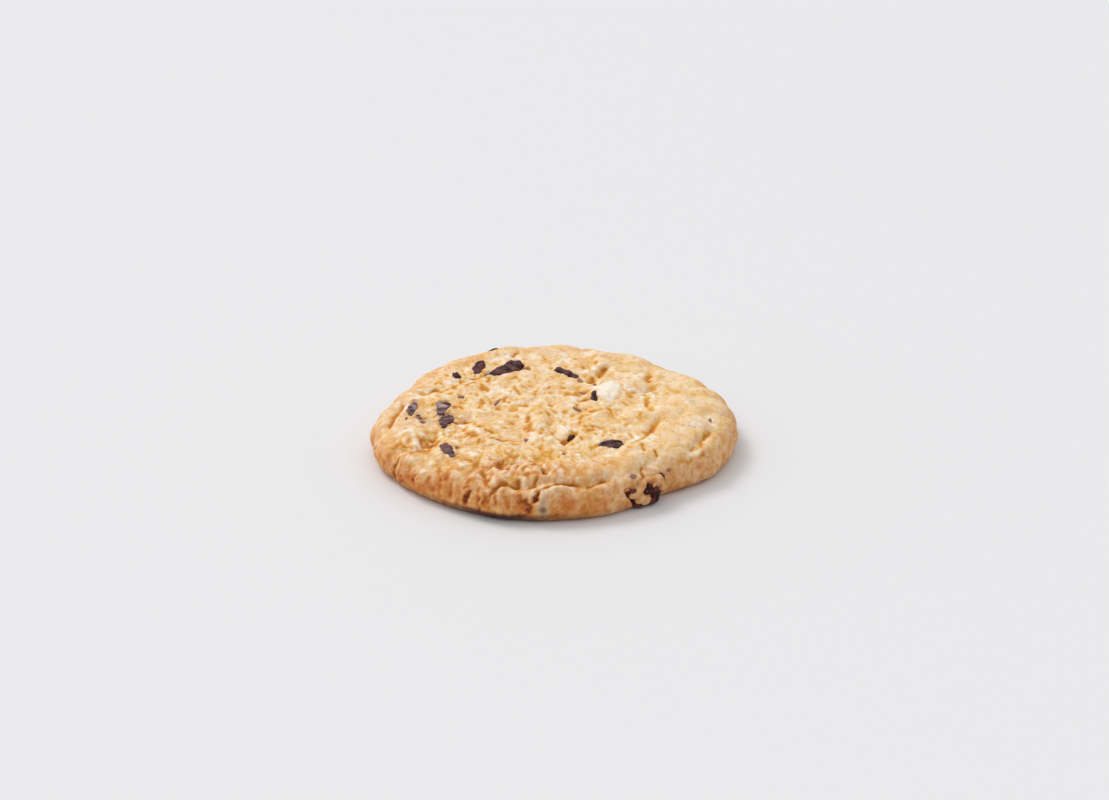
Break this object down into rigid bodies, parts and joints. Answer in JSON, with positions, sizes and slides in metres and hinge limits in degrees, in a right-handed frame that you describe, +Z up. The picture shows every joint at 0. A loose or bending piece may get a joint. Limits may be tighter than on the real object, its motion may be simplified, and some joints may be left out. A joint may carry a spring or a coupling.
{
  "type": "chocolate chip cookie",
  "caption": "Round soft-baked cookie with a folded, cracked top, a rounded rim, a flat underside and broken chocolate chunks set in the top and the rim.",
  "frame": {"origin": "centre of the flat underside, on the surface that the cookie lies on", "axes": "+Z up through the cookie's thickness; -Y towards the front, with the rim chunk at the front right (+X, -Y)"},
  "size_m": [0.1016, 0.0998, 0.0132],
  "materials": {
    "baked_dough": "matte baked dough: cream peaks, golden recesses, browner rim and underside",
    "chocolate": "dark chocolate, dull with a slight sheen and a greyish bloom"
  },
  "bodies": {
    "root": {"cookie_dough": "baked_dough", "chunk_back": "chocolate", "chunk_back_small": "chocolate", "chunk_left_rim": "chocolate", "chunk_left_sliver": "chocolate", "chunk_left": "chocolate", "chunk_left_inner": "chocolate", "chunk_front_left": "chocolate", "chunk_back_middle": "chocolate", "chunk_middle": "chocolate", "chunk_front_right": "chocolate", "chunk_rim": "chocolate"}
  },
  "joints": []
}
